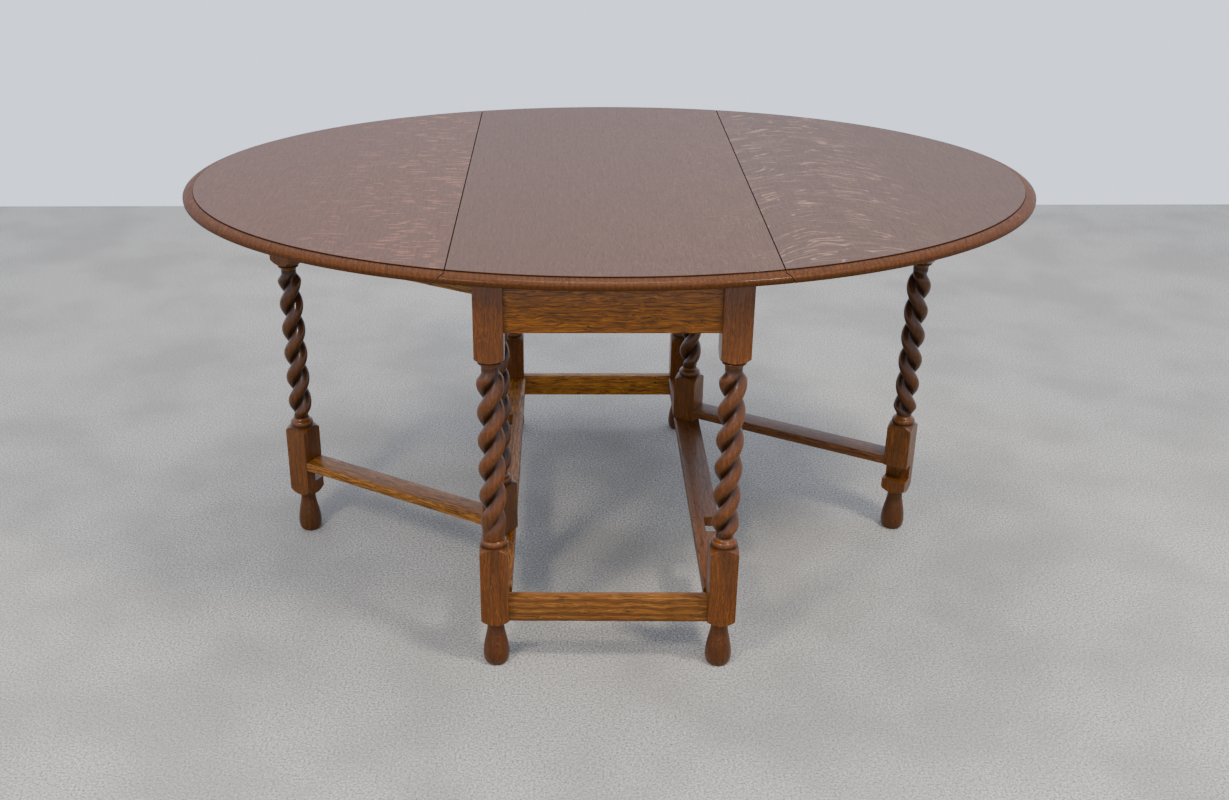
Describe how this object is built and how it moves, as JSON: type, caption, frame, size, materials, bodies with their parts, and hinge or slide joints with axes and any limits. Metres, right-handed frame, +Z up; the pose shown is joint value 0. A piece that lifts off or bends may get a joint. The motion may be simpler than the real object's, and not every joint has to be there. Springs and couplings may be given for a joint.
{
  "type": "gateleg table",
  "caption": "Oval oak gateleg table with a fixed centre board, two hinged leaves on swinging gates, and barley-twist legs joined by aprons and low stretchers.",
  "frame": {"origin": "on the floor under the middle of the open top", "axes": "+Z up, +X along the open length across both leaves, -Y towards the front"},
  "size_m": [1.555, 1.159, 0.75],
  "materials": {
    "top_oak": "polished, satin to gloss",
    "frame_oak": "stained and polished",
    "rail_oak": "stained and polished",
    "hinge_metal": "aged brass"
  },
  "bodies": {
    "frame": {"centre_top": "top_oak", "front_left_leg": "frame_oak", "front_right_leg": "frame_oak", "back_left_leg": "frame_oak", "back_right_leg": "frame_oak", "front_apron": "rail_oak", "back_apron": "rail_oak", "left_apron": "rail_oak", "right_apron": "rail_oak", "front_stretcher": "rail_oak", "back_stretcher": "rail_oak", "left_stretcher": "rail_oak", "right_stretcher": "rail_oak", "left_hinge_1_fixed_plate": "hinge_metal", "left_hinge_1_pin": "hinge_metal", "left_hinge_2_fixed_plate": "hinge_metal", "left_hinge_2_pin": "hinge_metal", "left_hinge_3_fixed_plate": "hinge_metal", "left_hinge_3_pin": "hinge_metal", "right_hinge_1_fixed_plate": "hinge_metal", "right_hinge_1_pin": "hinge_metal", "right_hinge_2_fixed_plate": "hinge_metal", "right_hinge_2_pin": "hinge_metal", "right_hinge_3_fixed_plate": "hinge_metal", "right_hinge_3_pin": "hinge_metal"},
    "left_leaf": {"left_leaf": "top_oak", "left_gate_stop": "rail_oak", "left_hinge_1_leaf_plate": "hinge_metal", "left_hinge_2_leaf_plate": "hinge_metal", "left_hinge_3_leaf_plate": "hinge_metal"},
    "right_leaf": {"right_leaf": "top_oak", "right_gate_stop": "rail_oak", "right_hinge_1_leaf_plate": "hinge_metal", "right_hinge_2_leaf_plate": "hinge_metal", "right_hinge_3_leaf_plate": "hinge_metal"},
    "left_gate": {"left_gate_leg": "frame_oak", "left_gate_post": "frame_oak", "left_gate_lower_rail": "rail_oak", "left_gate_upper_rail": "rail_oak"},
    "right_gate": {"right_gate_leg": "frame_oak", "right_gate_post": "frame_oak", "right_gate_lower_rail": "rail_oak", "right_gate_upper_rail": "rail_oak"}
  },
  "joints": [
    {"name": "left_leaf_hinge", "type": "hinge", "parent": "frame", "child": "left_leaf", "pos_m": [-0.2555, 0, 0.733], "axis": [0, 1, 0], "range_deg": [0, 2]},
    {"name": "right_leaf_hinge", "type": "hinge", "parent": "frame", "child": "right_leaf", "pos_m": [0.2555, 0, 0.733], "axis": [0, -1, 0], "range_deg": [0, 2]},
    {"name": "left_gate_swing", "type": "hinge", "parent": "frame", "child": "left_gate", "pos_m": [-0.196, -0.247, 0.136], "axis": [0, 0, 1], "range_deg": [-59.5, 0]},
    {"name": "right_gate_swing", "type": "hinge", "parent": "frame", "child": "right_gate", "pos_m": [0.196, 0.247, 0.136], "axis": [0, 0, 1], "range_deg": [-59.5, 0]}
  ]
}
